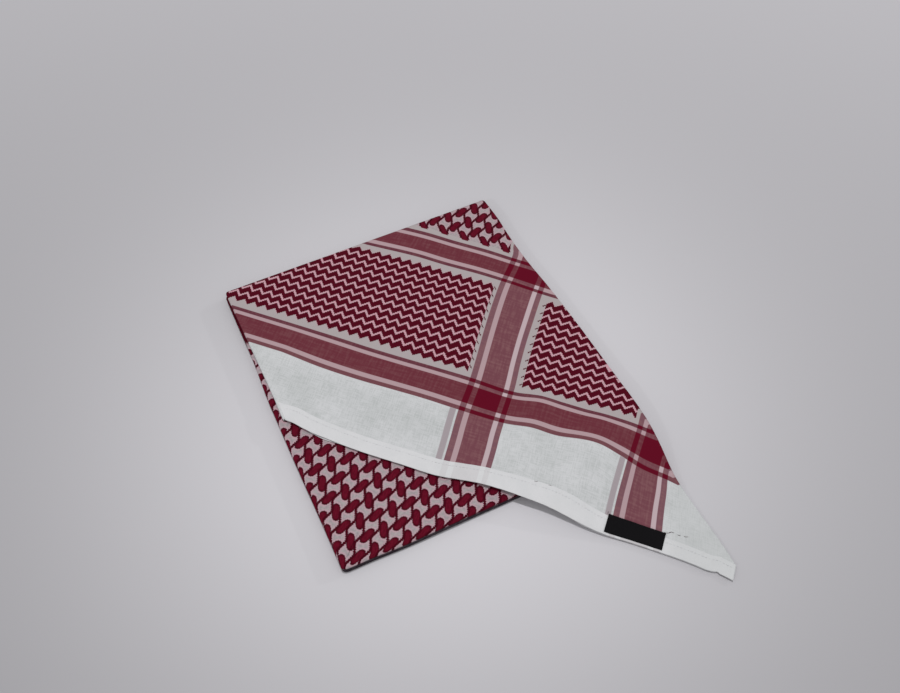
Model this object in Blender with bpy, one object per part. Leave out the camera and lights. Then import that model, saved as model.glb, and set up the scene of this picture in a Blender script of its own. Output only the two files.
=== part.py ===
"""Keffiyeh headscarf, folded flat and laid on a table.

A square cotton scarf is folded corner to corner into a triangle, the triangle is folded in
thirds into a long strip, and the strip is folded crosswise into a flat pack. The last length
of the strip, one corner of the scarf, lies back over the pack and runs past its front edge
on to the table.

Axes: +X to the right across the strip, +Y to the back along it, +Z up. The table is z = 0.
Two more axes follow the threads of the cloth: U runs along the hem from the tip, and V runs
inward from the hem. Both lie at 45 degrees to the strip, because its long edges are cut on
the scarf's diagonal.
"""

import math

import bmesh
import bpy
import numpy as np

MM = 0.001

# ---- driving sizes -------------------------------------------------------------------------
HALF_WIDTH = 166.0 * MM      # half of the whole outline across X
HALF_LENGTH = 253.0 * MM     # half of the whole outline along Y
PACK_RIGHT = 150.0 * MM      # right edge of the pack, under the fold of the flap
PACK_FRONT = -96.5 * MM      # front edge of the pack
PACK_TOP = 10.0 * MM         # height of the pressed pack
PACK_CORNER = 5.0 * MM       # radius of the pack's corners, seen from above
WALL = 1.2 * MM              # one sheet of cloth
GAP = 0.3 * MM               # space between pieces
HEM_DEPTH = 16.0 * MM        # width of the turned hem
HEM_RISE = 0.4 * MM          # how far the turned hem stands over the sheet
TIP_X = 153.0 * MM           # corner of the scarf, where its hems meet
TIP_Y = -HALF_LENGTH
FLAP_LEFT_BACK = -163.0 * MM   # folded left edge of the flap at the back
FLAP_LEFT_HEM = -160.0 * MM    # the same edge where the hem meets it
LABEL_START = 68.5 * MM      # from the tip along the hem to the label
LABEL_LENGTH = 56.0 * MM
LABEL_INSET = 2.0 * MM       # from the hem's edge to the label
LABEL_DEPTH = 18.0 * MM
LABEL_WALL = 1.0 * MM
LABEL_FLOAT = 0.45 * MM
LOWER_HEM_START = 14.0 * MM  # the lower sheet's hem begins this far from the tip
LOWER_HEM_OUT = 1.5 * MM     # and shows this much in front of the upper one

# The flap comes off the pack's front edge: each sheet needs this length to reach the table.
OVERHANG = 6.0 * MM          # the cloth stays level this far past the edge
LOWER_RUN = 38.0 * MM
UPPER_RUN = 76.0 * MM

# The roll of cloth over the pack's back edge.
ROLL_AXIS_Z = 7.5 * MM
ROLL_DROP = 1.0 * MM
ROLL_STEPS = 4
UPPER_MID = PACK_TOP + 2 * GAP + 1.5 * WALL
ROLL_AXIS_Y = HALF_LENGTH - (UPPER_MID + WALL / 2 - ROLL_AXIS_Z)

SHEET_COLUMNS = 18
NEAR_ROWS = 10               # rows of the flap from the hem to the pack's front edge
FAR_ROWS = 13                # rows from there to the back roll
NEAR_SHARE = 0.2             # least part of a column that the near rows take
FOLD_STEPS = 3
HEM_LANES = 3
ROOT_TWO = math.sqrt(2.0)

# ---- short tables, one row for each place --------------------------------------------------
# Hem line: distance from the tip along the hem, and how far the edge lies inward there (mm).
HEM_LINE = [
    # along, inward
    (0.0, 0.0),
    (32.0, 3.6),
    (126.0, 4.5),
    (225.0, 7.4),
    (326.0, 4.0),
    (390.0, 2.6),
    (460.0, 11.0),
]

# Right-hand fold of the flap: place along Y, and where the folded edge lies there (mm).
FOLD_LINE = [
    # y, x
    (-253.0, 164.5),
    (-226.0, 165.2),
    (-180.0, 163.5),
    (-140.0, 161.8),
    (-112.0, 163.5),
    (-88.0, 166.0),
    (-20.0, 164.8),
    (55.0, 162.0),
    (110.0, 158.0),
    (160.0, 153.0),
    (200.0, 151.0),
    (253.0, 150.0),
]

# Swellings of the upper sheet: centre along U and V from the tip, reach along each, height (mm).
SWELLINGS = [
    # u, v, reach_u, reach_v, height
    (150.0, 122.0, 62.0, 66.0, 5.2),
    (160.0, 92.0, 22.0, 44.0, 3.4),
    (219.0, 112.0, 15.0, 58.0, 2.4),
    (228.0, 14.0, 34.0, 26.0, 2.6),
    (447.0, 26.0, 26.0, 30.0, 1.2),
]

# Edge of the pack from the table up: how far each side steps in at that height (mm).
# The folded lengths of cloth show as rounded layers, parted by grooves.
PACK_EDGE = [
    # z, left, right, front, back
    (0.0, 2.4, 3.0, 7.4, 2.6),
    (0.5, 1.2, 1.8, 5.6, 1.2),
    (1.6, 0.7, 1.2, 4.9, 0.6),
    (2.6, 1.1, 1.7, 5.5, 1.1),
    (3.1, 2.6, 3.0, 6.0, 2.6),
    (3.6, 1.3, 1.9, 3.4, 1.1),
    (4.7, 0.5, 0.9, 1.0, 0.4),
    (5.7, 1.0, 1.4, 0.3, 1.2),
    (6.3, 2.3, 2.6, 0.0, 3.0),
    (7.5, 0.6, 1.0, 0.4, 3.0),
    (8.5, 0.0, 0.5, 1.3, 3.2),
    (9.4, 0.7, 1.1, 2.9, 4.1),
    (10.0, 2.6, 3.0, 6.2, 5.5),
]
PACK_SIDE_STEPS = {"x": 12, "y": 13}
PACK_CORNER_STEPS = 4
PACK_WAVER = 0.35 * MM       # how unevenly the layers lie at the edges


# ---- helpers -------------------------------------------------------------------------------
def curve_through(rows, at):
    """Smooth value at a place, from a table of (place, value) rows in millimetres."""
    at = at / MM
    if at <= rows[0][0]:
        return rows[0][1] * MM
    for (left, low), (right, high) in zip(rows, rows[1:]):
        if at <= right:
            share = (at - left) / (right - left)
            share = share * share * (3.0 - 2.0 * share)
            return (low + (high - low) * share) * MM
    return rows[-1][1] * MM


def smooth_step(value):
    value = min(max(value, 0.0), 1.0)
    return value * value * (3.0 - 2.0 * value)


def point_at(u, v):
    """Place on the table of a thread crossing, U along the hem and V inward from it."""
    return TIP_X + (v - u) / ROOT_TWO, TIP_Y + (u + v) / ROOT_TWO


def threads_at(x, y):
    """The reverse of point_at."""
    across, along = x - TIP_X, y - TIP_Y
    return (along - across) / ROOT_TWO, (along + across) / ROOT_TWO


def hem_point(u, inward):
    """A point of the sheet at a distance inward from the hem's real edge."""
    return point_at(u, curve_through(HEM_LINE, u) + inward)


def flap_left(y):
    share = (y - 60.0 * MM) / (HALF_LENGTH - 60.0 * MM)
    return FLAP_LEFT_HEM + (FLAP_LEFT_BACK - FLAP_LEFT_HEM) * min(max(share, 0.0), 1.0)


def lower_height(x, y):
    """Middle of the lower sheet: on the pack, then down to the table in front of it."""
    past_front = PACK_FRONT - OVERHANG - y
    rest = (PACK_TOP + GAP) * (1.0 - smooth_step(past_front / LOWER_RUN))
    return rest + WALL / 2


def upper_height(x, y):
    """Middle of the upper sheet, which bridges the step more loosely than the lower one."""
    past_front = PACK_FRONT - OVERHANG - y
    bridge = smooth_step(past_front / LOWER_RUN) - smooth_step(past_front / UPPER_RUN)
    height = lower_height(x, y) + WALL + GAP + (PACK_TOP + GAP) * bridge
    u, v = threads_at(x, y)
    for at_u, at_v, reach_u, reach_v, rise in SWELLINGS:
        off_u = (u - at_u * MM) / (reach_u * MM)
        off_v = (v - at_v * MM) / (reach_v * MM)
        height += rise * MM * math.exp(-off_u * off_u - off_v * off_v)
    return height


def sheet_right(y):
    """Where the flat of both sheets ends and the bend of the diagonal fold begins."""
    fold_x = curve_through(FOLD_LINE, y)
    bend_radius = (upper_height(fold_x, y) - lower_height(fold_x, y)) / 2
    return fold_x - WALL / 2 - bend_radius


def material(name, color, roughness):
    made = bpy.data.materials.new(name)
    made.use_nodes = True
    shader = made.node_tree.nodes["Principled BSDF"]
    shader.inputs["Base Color"].default_value = (*color, 1.0)
    shader.inputs["Roughness"].default_value = roughness
    shader.inputs["Metallic"].default_value = 0.0
    return made


def add_object(name, points, faces, finish):
    mesh = bpy.data.meshes.new(name)
    mesh.from_pydata([tuple(point) for point in points], [], faces)
    tidy = bmesh.new()
    tidy.from_mesh(mesh)
    bmesh.ops.recalc_face_normals(tidy, faces=tidy.faces)
    tidy.to_mesh(mesh)
    tidy.free()
    mesh.shade_smooth()
    mesh.materials.append(finish)
    made = bpy.data.objects.new(name, mesh)
    bpy.context.scene.collection.objects.link(made)
    return made


def add_wall(name, middle, thickness, finish):
    """A wall of even thickness about a grid of middle points, closed round its rim."""
    rows, columns = middle.shape[:2]
    along = np.gradient(middle, axis=0)
    across = np.gradient(middle, axis=1)
    normal = np.cross(across, along)
    normal /= np.linalg.norm(normal, axis=2, keepdims=True)
    points = np.concatenate([
        (middle + normal * thickness / 2).reshape(-1, 3),
        (middle - normal * thickness / 2).reshape(-1, 3),
    ])
    back = rows * columns

    def at(row, column, side):
        return side * back + row * columns + column

    faces = []
    for row in range(rows - 1):
        for column in range(columns - 1):
            corners = [(row, column), (row, column + 1), (row + 1, column + 1), (row + 1, column)]
            faces.append([at(*corner, 0) for corner in corners])
            faces.append([at(*corner, 1) for corner in reversed(corners)])
    rim = [(0, column) for column in range(columns)]
    rim += [(row, columns - 1) for row in range(1, rows)]
    rim += [(rows - 1, column) for column in range(columns - 2, -1, -1)]
    rim += [(row, 0) for row in range(rows - 2, 0, -1)]
    for here, there in zip(rim, rim[1:] + rim[:1]):
        faces.append([at(*there, 0), at(*here, 0), at(*here, 1), at(*there, 1)])
    return add_object(name, points, faces, finish)


# ---- the pieces ----------------------------------------------------------------------------
def pack_ring(z, left, right, front, back):
    """The pack's outline at one height: four uneven sides and four rounded corners."""
    low_x, high_x = -HALF_WIDTH + left, PACK_RIGHT - right
    low_y, high_y = PACK_FRONT + front, HALF_LENGTH - back
    radius = PACK_CORNER
    corners = [
        (high_x - radius, low_y + radius, -90.0, "y"),
        (high_x - radius, high_y - radius, 0.0, "x"),
        (low_x + radius, high_y - radius, 90.0, "y"),
        (low_x + radius, low_y + radius, 180.0, "x"),
    ]
    ring = []
    for index, (centre_x, centre_y, start, side) in enumerate(corners):
        for step in range(PACK_CORNER_STEPS + 1):
            turn = math.radians(start + 90.0 * step / PACK_CORNER_STEPS)
            ring.append((centre_x + radius * math.cos(turn), centre_y + radius * math.sin(turn)))
        next_x, next_y, next_start, _ = corners[(index + 1) % 4]
        turn = math.radians(next_start)
        end = (next_x + radius * math.cos(turn), next_y + radius * math.sin(turn))
        begin = ring[-1]
        steps = PACK_SIDE_STEPS[side]
        outward = (math.cos(turn), math.sin(turn))
        for step in range(1, steps):
            share = step / steps
            fade = math.sin(math.pi * share)
            waver = PACK_WAVER * fade * math.sin(9.0 * share + 1.7 * index + 900.0 * z)
            waver -= PACK_WAVER * fade
            ring.append((
                begin[0] + (end[0] - begin[0]) * share + outward[0] * waver,
                begin[1] + (end[1] - begin[1]) * share + outward[1] * waver,
            ))
    return [(x, y, z) for x, y in ring]


def make_pack(finish):
    """The hidden lengths of the folded strip, pressed flat, with the panel that shows on top."""
    rings = [pack_ring(*(value * MM for value in row)) for row in PACK_EDGE]
    count = len(rings[0])
    points = [point for ring in rings for point in ring]
    faces = [list(range(count - 1, -1, -1))]
    for level in range(len(rings) - 1):
        for here in range(count):
            there = (here + 1) % count
            low, high = level * count, (level + 1) * count
            faces.append([low + here, low + there, high + there, high + here])
    faces.append([(len(rings) - 1) * count + here for here in range(count)])
    return add_object("pack", points, faces, finish)


def seam_place(share):
    """Where a column of the flap meets the hem's seam: its Y, and its distance U from the tip."""
    y = 0.0
    for _ in range(60):
        x = flap_left(y) + (sheet_right(y) - flap_left(y)) * share
        u = threads_at(x, y)[0]
        inward = curve_through(HEM_LINE, u) + HEM_DEPTH + GAP
        y += 0.5 * (TIP_Y + (TIP_X - x) + ROOT_TWO * inward - y)
    return y, u


def flap_column(share):
    """Places down one column of the flap, from its hem seam to the start of the back roll."""
    seam_y = seam_place(share)[0]
    level = max(PACK_FRONT - OVERHANG, seam_y + NEAR_SHARE * (ROLL_AXIS_Y - seam_y))
    near = [seam_y + (level - seam_y) * row / NEAR_ROWS for row in range(NEAR_ROWS)]
    far = [level + (ROLL_AXIS_Y - level) * row / FAR_ROWS for row in range(FAR_ROWS + 1)]
    return [(flap_left(y) + (sheet_right(y) - flap_left(y)) * share, y) for y in near + far]


def rolled(x, y, z, turn):
    """A point at the start of the back roll, carried round the roll's axis."""
    arm = z - ROLL_AXIS_Z
    return (x, ROLL_AXIS_Y + arm * math.sin(turn), ROLL_AXIS_Z + arm * math.cos(turn))


def make_flap(finish):
    """The top length of the strip: two sheets joined by the scarf's diagonal fold."""
    columns = [flap_column(step / SHEET_COLUMNS) for step in range(SHEET_COLUMNS + 1)]
    paths = []
    for places in zip(*columns):
        lower = [(x, y, lower_height(x, y)) for x, y in places]
        upper = [(x, y, upper_height(x, y)) for x, y in places]
        centre_x, centre_y = places[-1]
        low, high = lower[-1][2], upper[-1][2]
        radius = (high - low) / 2
        bend = []
        for step in range(1, FOLD_STEPS + 1):
            turn = math.pi * step / (FOLD_STEPS + 1)
            bend.append((
                centre_x + radius * math.sin(turn),
                centre_y,
                (low + high) / 2 - radius * math.cos(turn),
            ))
        paths.append(lower + bend + upper[::-1])
    last = paths[-1]
    for step in range(1, ROLL_STEPS + 1):
        turn = math.pi / 2 * step / ROLL_STEPS
        paths.append([rolled(*point, turn) for point in last])
    paths.append([(x, y, z - ROLL_DROP) for x, y, z in paths[-1]])
    return add_wall("flap", np.array(paths), WALL, finish)


def hem_grid(start, near, height, lift):
    """Middle points of a hem strip, from `near` its edge to the seam, in the flap's columns."""
    seams = [seam_place(step / SHEET_COLUMNS)[1] for step in range(SHEET_COLUMNS + 1)]
    seams = [start] + sorted(u for u in seams if u > start + HEM_DEPTH / 2)
    rows = []
    for lane in range(HEM_LANES + 1):
        inward = near + (HEM_DEPTH - near) * lane / HEM_LANES
        cut_back = (HEM_DEPTH + GAP - inward) / (seams[-1] - start)
        row = []
        for u in seams:
            u -= cut_back * (u - start)
            x, y = hem_point(u, inward)
            row.append((x, y, height(x, y) + lift))
        rows.append(row)
    return np.array(rows)


def make_hems(finish):
    """The turned hem of each sheet, a strip parted from the sheet by its seam."""
    upper = hem_grid(0.0, 0.0, upper_height, HEM_RISE / 2)
    lower = hem_grid(LOWER_HEM_START, -LOWER_HEM_OUT, lower_height, 0.0)
    add_wall("hem_upper", upper, WALL + HEM_RISE, finish)
    add_wall("hem_lower", lower, WALL, finish)


def make_label(finish):
    """The woven label sewn over the hem, made from the hem's points moved up."""
    lift = WALL / 2 + HEM_RISE + LABEL_FLOAT + LABEL_WALL / 2
    rows = []
    for lane in range(4):
        inward = LABEL_INSET + LABEL_DEPTH * lane / 3
        row = []
        for step in range(9):
            u = LABEL_START + LABEL_LENGTH * step / 8
            x, y = hem_point(u, inward)
            row.append((x, y, upper_height(x, y) + lift))
        rows.append(row)
    add_wall("label", np.array(rows), LABEL_WALL, finish)


def main():
    for old in list(bpy.data.objects):
        bpy.data.objects.remove(old, do_unlink=True)
    patterned = material("patterned_cotton", (0.50, 0.12, 0.16), 0.85)
    plain = material("white_cotton", (0.78, 0.78, 0.77), 0.85)
    black = material("black_woven_label", (0.015, 0.015, 0.016), 0.7)
    make_pack(patterned)
    make_flap(patterned)
    make_hems(plain)
    make_label(black)


main()
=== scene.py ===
"""Keffiyeh headscarf, folded flat and laid on a table: the finish of every surface.

The cloth's own axes follow its threads: U runs along the hem from the tip, and V runs inward
from the hem. Each piece of cloth keeps them, in metres, in a UV layer, and the woven pattern
is worked out from that layer by shader nodes.
"""

import math
from functools import partial, partialmethod

import bpy
import numpy as np
from mathutils import Matrix, Vector


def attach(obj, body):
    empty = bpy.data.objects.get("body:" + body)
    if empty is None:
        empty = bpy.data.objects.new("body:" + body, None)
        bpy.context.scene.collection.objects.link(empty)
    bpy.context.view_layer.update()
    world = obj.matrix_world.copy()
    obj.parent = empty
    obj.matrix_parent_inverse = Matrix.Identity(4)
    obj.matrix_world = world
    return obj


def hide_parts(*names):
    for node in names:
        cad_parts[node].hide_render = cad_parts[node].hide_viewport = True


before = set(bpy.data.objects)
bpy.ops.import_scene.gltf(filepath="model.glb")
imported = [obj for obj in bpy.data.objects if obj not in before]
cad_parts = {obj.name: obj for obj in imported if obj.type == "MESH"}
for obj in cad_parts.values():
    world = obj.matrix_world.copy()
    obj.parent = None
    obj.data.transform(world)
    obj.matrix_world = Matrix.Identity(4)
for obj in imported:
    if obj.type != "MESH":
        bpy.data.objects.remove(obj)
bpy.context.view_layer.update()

MM = 0.001
THREADS = "threads"          # name of the UV layer that holds U and V

# ---- driving sizes, as in the part's source ----
HALF_WIDTH = 166.0 * MM
HALF_LENGTH = 253.0 * MM
PACK_RIGHT = 150.0 * MM
PACK_FRONT = -96.5 * MM
PACK_TOP = 10.0 * MM
PACK_CORNER = 5.0 * MM
WALL = 1.2 * MM              # one sheet of the solid model
GAP = 0.3 * MM
TIP_X = 153.0 * MM
TIP_Y = -HALF_LENGTH
FLAP_LEFT_BACK = -161.4 * MM
FLAP_LEFT_HEM = -158.8 * MM
FLAP_LEFT_TURN = -0.5 * MM   # the fold turns out a little just above the hem
LEFT_TURN_AT = (104.0 * MM, 78.0 * MM)   # between these places along Y
LEFT_BEND_AT = 60.0 * MM
LABEL_START = 68.5 * MM
LABEL_LENGTH = 56.0 * MM
LABEL_INSET = 2.0 * MM
LABEL_DEPTH = 18.0 * MM
LOWER_HEM_START = 14.0 * MM
OVERHANG = 6.0 * MM
LOWER_RUN = 38.0 * MM
UPPER_RUN = 76.0 * MM
ROLL_AXIS_Z = 7.5 * MM
ROLL_DROP = 1.0 * MM
ROLL_BULGE = 1.2             # the back roll is this much deeper than it is high
CORNER_ROUND = 3.0 * MM      # how far each back corner of the flap is rounded off
CORNER_REACH = 16.0 * MM
UPPER_MID = PACK_TOP + 2 * GAP + 1.5 * WALL
ROLL_AXIS_Y = HALF_LENGTH - (UPPER_MID + WALL / 2 - ROLL_AXIS_Z)
ROOT_TWO = math.sqrt(2.0)

# ---- sizes that only the finish needs ----
CLOTH = 0.6 * MM             # the woven cotton itself
HEM_CLOTH = 1.0 * MM         # the hem, turned over twice
HEM_LIFT = 0.4 * MM          # its top above the sheet's
LOWER_HEM_CLOTH = 0.9 * MM
LOWER_HEM_LIFT = 1.0 * MM
LOWER_HEM_SHORT = 1.0 * MM   # it stops this much before the left fold
PUCKER = 0.10 * MM
PUCKER_RUN = 1.9 * MM
PUCKER_DRIFT = 31.0 * MM     # length over which the puckers crowd and spread
LABEL_CLOTH = 0.8 * MM
LABEL_LIFT = 0.1 * MM
LABEL_COLUMNS, LABEL_ROWS = 49, 17
FLAP_LONGEST = 372.5 * MM    # the longest column of a sheet
GRID = 2.8 * MM              # mesh spacing on the sheets
HEM_GRID = 1.6 * MM
PACK_GRID = 4.0 * MM
FOLD_STEPS = 8
ROLL_STEPS = 10
HEM_TURNS = 6
HEM_TURNS_IN = 0.9           # the last tenth of its length turns in with the fold

# Hem, by distance from the tip: how far inward its edge lies, how deep it is turned, and how far
# the lower sheet's hem reaches past it (less than 0: tucked in), in mm.
HEM = [
    # along, inward, depth, lower_past
    (-2, 0.5, 16, -0.8),
    (4, 1.7, 16, -0.8),
    (8.5, 2.6, 16, -0.8),
    (11.5, 3.1, 16, -0.8),
    (13.3, 3.5, 16, -0.8),
    (14.8, 4.7, 16, -0.4),
    (17.2, 3.9, 16, -0.3),
    (23, 3, 16, -0.3),
    (34, 3.8, 16, -0.3),
    (45, 4.6, 16, -0.3),
    (68, 5.3, 16, -0.3),
    (100, 5.4, 16.8, -0.4),
    (126, 4.7, 18.5, -1),
    (145, 5.8, 20, -2),
    (158, 7.5, 21, -4),
    (184, 10.2, 21.2, -8),
    (203, 10.6, 20.5, -8.5),
    (231, 10.8, 19, -8.5),
    (251, 10.2, 18.4, -6),
    (269, 8, 18, -3.5),
    (288, 5.2, 17.8, -2.2),
    (328, 4.6, 17.5, -2.2),
    (373, 4.4, 17, -2.2),
    (396, 5.4, 17, -0.4),
    (408, 6.3, 17, 0.9),
    (420, 7, 17, 0),
    (433, 8.7, 17, -1.5),
    (446, 11, 17, -1.5),
    (460, 11, 17, 0),
]

# Right-hand fold of the flap: place along Y, and where the folded edge lies there (mm).
FOLD_LINE = [
    # y, x
    (-253, 164.5),
    (-226, 165.2),
    (-180, 163.5),
    (-140, 161.8),
    (-112, 163.5),
    (-88, 166),
    (-20, 164.8),
    (55, 162),
    (110, 158),
    (160, 153),
    (200, 152),
    (216, 152.4),
    (236, 151.4),
    (253, 150),
]

# Swellings of the upper sheet: centre along U and V from the tip, reach along each, height (mm).
SWELLINGS = [
    # u, v, reach_u, reach_v, height
    (150, 122, 62, 66, 5.2),
    (160, 92, 22, 44, 3.4),
    (219, 112, 15, 58, 2.4),
    (228, 14, 34, 26, 2.6),
    (447, 26, 26, 30, 1.2),
]

# Edge of the pack from the table up: how far each side steps in at that height (mm).
PACK_EDGE = [
    # z, left, right, front, back
    (0, 2.4, 3, 3.2, 2.6),
    (0.5, 1.2, 1.8, 2.9, 1.2),
    (1.6, 0.7, 1.2, 2.7, 0.6),
    (2.6, 1.1, 1.7, 3, 1.1),
    (3.1, 2.6, 3, 3.9, 2.6),
    (3.6, 1.3, 1.9, 3, 1.1),
    (4.6, 0.5, 0.9, 2.7, 0.4),
    (5.2, 1, 1.4, 3.1, 1.2),
    (6, 2.3, 2.6, 3.9, 3),
    (7.2, 0.6, 1, 3, 3),
    (8.4, 0, 0.5, 3.3, 3.2),
    (9.4, 0.7, 1.1, 4.6, 4.1),
    (10, 2.6, 3, 7, 5.5),
]
# Under the front roll, painted shade darkens the layered wall up to these heights, standing for
# the shade in the gaps between the layers.
PAINTED_SHADE_TOP_LEFT = 8.0 * MM
PAINTED_SHADE_TOP_RIGHT = 5.8 * MM
CORNER_CUT = 1.5 * MM        # how far the front edge draws back at the left corner
LEFT_SWELL = 1.5 * MM        # how far the left edge swells out toward the front
LEFT_TUCK = 1.5 * MM         # and how far it draws in toward the back
PACK_WAVER = 0.35 * MM
PACK_LEVELS = 49
PACK_TOP_RINGS = (1.5, 4, 8, 14, 22, 32, 44, 58, 74, 92, 112, 132, 148)   # mm in from the edge
PACK_SHIFT = (0.2035, 0.4456)   # the panel lies this much further in from the hems
PACK_SKEW = (0.008, -0.027)     # and its threads lean by these shares
PACK_SKEW_AT = (0.332, -0.029)
LEFT_STRIP_SHIFT = -4.5 * MM    # the layer that shows along the flap's left fold
# Between which places each soft step of the pack lies, along X or Y.
CORNER_CUT_X = (-95.0 * MM, -145.0 * MM)
SWELL_Y = (170.0 * MM, 100.0 * MM)
STRIP_SHIFT_Y = (72.0 * MM, 90.0 * MM)
DARK_STRIP_X = (-158.0 * MM, -159.0 * MM)
DARK_STRIP_Y = (178.0 * MM, 182.0 * MM)
PAINTED_SHADE_SOFT = 0.8 * MM
SETTLED_WITHIN = 74.0        # mm in from the edge, where the top lies quite even

# Soft creases of the upper sheet: both ends along U and V, half width, rise (mm; less than 0 for
# a trough), and bow as a share of the length.
CREASES = [
    # u1, v1, u2, v2, half_width, rise, bow
    (196, 40, 246, 30, 6, -0.5, 0.12),
    (258, 60, 300, 150, 10, 0.25, 0.12),
    (330, 18, 420, 26, 7, 0.3, 0.12),
    (310, 60, 450, 52, 12, -0.25, 0.12),
    (325, 205, 352, 120, 12, -0.25, 0.12),
    (60, 30, 118, 62, 9, 0.35, 0.12),
    (24, 24, 70, 46, 7, 0.3, 0.12),
    (300, 255, 420, 262, 9, 0.2, 0.12),
    (11.5, -9, 18.8, 38, 2.2, -0.55, 0),
]

# Seams and loose yarn.
STITCH_PITCH = 3.4 * MM
STITCH_LENGTH = 2.5 * MM
STITCH_RADIUS = 0.28 * MM
STITCH_LIFTS = np.array([-0.12, 0.16, -0.12]) * MM
SEAM_START = 3.0 * MM
SEAM_PAST_FOLD = 8.0 * MM
SEAM_INSET = 4.6 * MM
LABEL_SEAM = 0.9 * MM        # how far inside the label's edges its seam runs
LABEL_PITCH = 2.0 * MM
LABEL_STITCH = 0.7 * LABEL_PITCH
LABEL_THREAD = 0.2 * MM
LOOSE_RADIUS = 0.16 * MM
THREAD_SIDES = 6
THREAD_TAPER = 0.35          # share of its radius that a thread has at its ends
# Loose ends of dark yarn beside the hem: start along U and V, length, way (degrees from U) and
# how far it curls (mm).
LOOSE_ENDS = [
    # u, v, length, way, curl
    (71, 26.4, 7, 172, 0.8),
    (66, 27.2, 5, 160, -0.6),
    (58, 28, 3, 185, 0.3),
    (52, 28.6, 4, 176, 0.5),
    (201, 30.6, 4, 178, 0.4),
    (187, 30.6, 4.5, 174, -0.4),
    (126, 24.6, 2.5, 110, 0.3),
]

# ---- the woven pattern, in millimetres from the tip ----
# Each band is three dark stripes with light gaps: where each stripe starts and ends.
BAND_A = [(81.0, 85.6), (90.8, 112.2), (116.6, 121.0)]
BAND_B = [(249.7, 253.8), (258.8, 276.9), (281.4, 285.9)]
BAND_C = [(69.2, 75.3), (80.0, 104.6), (109.5, 115.2)]
BAND_D = [(246.4, 251.9), (256.9, 281.8), (287.2, 293.4)]
A_START, A_END = BAND_A[0][0], BAND_A[2][1]
B_START, B_END = BAND_B[0][0], BAND_B[2][1]
C_END = BAND_C[2][1]
D_START, D_END = BAND_D[0][0], BAND_D[2][1]

# The woven lines are not quite straight in the folded cloth: how far the pattern has drifted
# along U, by V, at seven lines of it (mm).
DRIFT_U_AT = (76.0, 121.0, 132.0, 238.0, 250.0, 298.0, 322.0)
DRIFT_U = [
    # v, band C low side, high side, zig-zag by C, zig-zag by D, band D low side, high side, beyond
    (0, 0.5, 4, 3.3, -3.7, -4.5, -4.5, 1),
    (20, 2.5, 5, 4.3, -2.4, -3.2, -3.4, 1.8),
    (50, 6.5, 6.4, 5.7, -0.6, -1.3, -1, 2.9),
    (63, 8, 6.5, 5.9, 0.6, 0, 0.3, 3.4),
    (82, 11.5, 6.6, 5.8, 2.2, 1, 1.8, 4.1),
    (120, 11.5, 5.8, 4.5, 4.8, 2.3, 2.5, 3.6),
    (155, 11, 7, 6.3, 7.5, 6.2, 5.2, 6.4),
    (184, 11, 7, 6.8, 9.3, 8.2, 7.8, 8.1),
    (208, 11, 7, 7, 10.6, 8.9, 9.6, 9),
    (246, 11, 7, 7.3, 11.8, 10, 11, 9.6),
    (282, 11, 7, 7.3, 11.3, 10.5, 9.2, 8.4),
    (291, 11, 7, 7.3, 11.3, 10.5, 9.6, 8.8),
    (300, 11, 7, 7.3, 11.3, 10.5, 12.2, 12.4),
    (312, 11, 7, 7.3, 11.3, 10.5, 10.8, 12.6),
    (330, 11, 7, 7.3, 11.3, 10.5, 9.2, 12.8),
]
# The same along V, by U, at eight lines of it (mm). The hem's own line, at 20, has no drift.
DRIFT_V_AT = (82.0, 121.0, 130.0, 150.0, 175.0, 235.0, 249.0, 285.0)
HEM_LINE = 20.0
DRIFT_V = [
    # u, band A low, high, zig-zag foot, low, middle, high, band B low, high
    (65, -5, 0, -1.2, -1.6, -2.2, -2.4, -3, -2),
    (78, -3.8, 0.5, -1.1, -1.6, -2.2, -2.4, -3, -2),
    (108, -2.5, 1.2, -0.7, -1.7, -2.4, -2.4, -3, -2),
    (130, 2.9, 2, -0.5, -2.1, -2.7, -2.4, -3, -2),
    (151, 7.4, 0.8, -1.6, -2.6, -3, -2.4, -3, -2),
    (171, 6.6, 0, -3.1, -3, -3.4, -2.4, -3, -2),
    (191, 3.8, 1.9, -2.4, -3, -3.6, -2.6, -3, -2),
    (221, 3.5, 2, -3.2, -4.6, -4.1, -3, -3, -2),
    (247, 0.5, -1.7, -3.2, -3.8, -3, -1.8, -3.3, -2.4),
    (296, 0, -0.2, -2.2, -2.4, -1.7, -0.3, -0.6, -2.2),
    (331, 0.5, -0.4, -3.8, -3.1, -1.1, -0.2, 0.2, -0.6),
    (370, -0.3, -1.1, -2.5, -1.5, -0.5, -0.3, -0.6, -0.8),
    (401, -1.2, -1.2, -2, -1.2, -0.6, 0, 0, 0),
    (446, -0.5, -0.4, -1.6, -1.5, -1.1, -0.5, -2.5, -2),
    (490, 3.5, -0.2, -1.6, -2.1, -1.9, -1.5, -6, -4),
]


# ---- shape of the cloth ----
def curve_through(rows, at, column=1):
    """Smooth values at places, from the rows of a table in millimetres; places come first."""
    places = np.array([row[0] for row in rows]) * MM
    values = np.array([row[column] for row in rows]) * MM
    slopes = np.gradient(values, places)
    at = np.clip(np.asarray(at, float), places[0], places[-1])
    row = np.clip(np.searchsorted(places, at, side="right") - 1, 0, len(rows) - 2)
    gap = places[row + 1] - places[row]
    on = (at - places[row]) / gap
    left = 1.0 - on
    level = values[row] * (1.0 + 2.0 * on) * left ** 2
    level = level + values[row + 1] * (3.0 - 2.0 * on) * on ** 2
    return level + gap * on * left * (slopes[row] * left - slopes[row + 1] * on)


def ramp(place, start=0.0, end=1.0):
    """0 at start, 1 at end, and a smooth step between."""
    share = np.clip((place - start) / (end - start), 0.0, 1.0)
    return share * share * (3.0 - 2.0 * share)


def point_at(u, v):
    """Place on the table of a thread crossing."""
    return TIP_X + (v - u) / ROOT_TWO, TIP_Y + (u + v) / ROOT_TWO


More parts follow.
